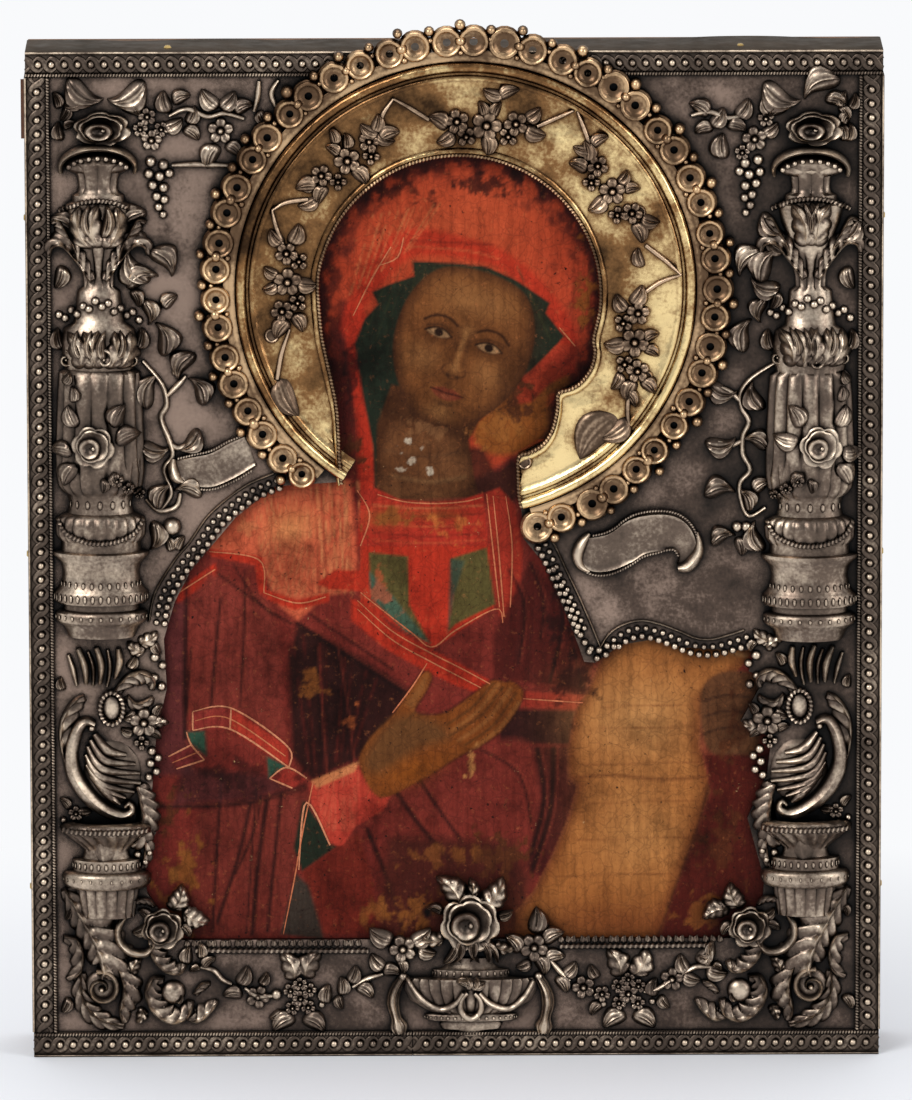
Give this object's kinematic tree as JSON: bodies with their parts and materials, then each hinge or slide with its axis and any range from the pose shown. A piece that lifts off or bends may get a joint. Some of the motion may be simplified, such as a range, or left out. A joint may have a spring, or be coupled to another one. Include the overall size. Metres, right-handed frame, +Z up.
{
  "type": "orthodox icon",
  "caption": "Painted wooden panel icon in a chased silver cover with pillars, leaf relief, a pierced gilt halo and a hanging ring.",
  "frame": {"origin": "middle of the bottom edge, on the bottom skirt's lower face, half way through the board's thickness", "axes": "+X to the viewer's right, +Z up, the picture faces -Y"},
  "size_m": [0.2724, 0.0451, 0.3337],
  "materials": {
    "bare_wood": "old lime wood, darkened and waxed by handling",
    "chalk_ground": "chalk and glue ground, matt, yellowed",
    "tempera": "egg tempera under a browned varnish, worn and flecked",
    "silver_sheet": "silver sheet with a dark brown-grey tarnish",
    "silver_border": "chased silver strip, dark in the recesses, bright on the beads",
    "silver_relief": "chased silver, dark in the recesses, rubbed bright on the high places",
    "gilt_plate": "fire gilding, bright and rubbed, brown along the chasing",
    "gilt_border": "fire gilding, duller, dark in the recesses",
    "iron": "forged iron wire, blackened",
    "nails": "small brass nails, tarnished"
  },
  "bodies": {
    "icon": {"board_left": "bare_wood", "board_right": "bare_wood", "border_bottom_left": "silver_border", "border_bottom_right": "silver_border", "border_left": "silver_border", "border_right": "silver_border", "border_top": "silver_border", "bottom_left_garland": "silver_relief", "bottom_right_garland": "silver_relief", "bottom_urn": "silver_relief", "cover_sheet": "silver_sheet", "gesso_ground": "chalk_ground", "halo_border": "gilt_border", "halo_flowers": "gilt_border", "halo_plate": "gilt_plate", "left_banner": "silver_relief", "left_leaf_spray": "silver_relief", "left_pillar": "silver_relief", "left_pillar_foot": "silver_relief", "left_pillar_leaves": "silver_relief", "left_scroll_bracket": "silver_relief", "left_shoulder_beads": "silver_relief", "lower_batten": "bare_wood", "lower_left_corner": "silver_relief", "lower_right_corner": "silver_relief", "painting": "tempera", "right_banner": "silver_relief", "right_leaf_spray": "silver_relief", "right_pillar": "silver_relief", "right_pillar_foot": "silver_relief", "right_pillar_leaves": "silver_relief", "right_scroll_bracket": "silver_relief", "right_shoulder_beads": "silver_relief", "ring_staple": "iron", "skirt_nails": "nails", "top_left_garland": "silver_relief", "top_right_garland": "silver_relief", "upper_batten": "bare_wood", "urn_rose": "silver_relief", "urn_tassel_left": "silver_relief", "urn_tassel_right": "silver_relief"},
    "ring": {"hanging_ring": "iron"}
  },
  "joints": [
    {"name": "ring_swing", "type": "hinge", "parent": "icon", "child": "ring", "pos_m": [0, 0.0156, 0.26294], "axis": [1, 0, 0], "range_deg": [0, 178]}
  ]
}
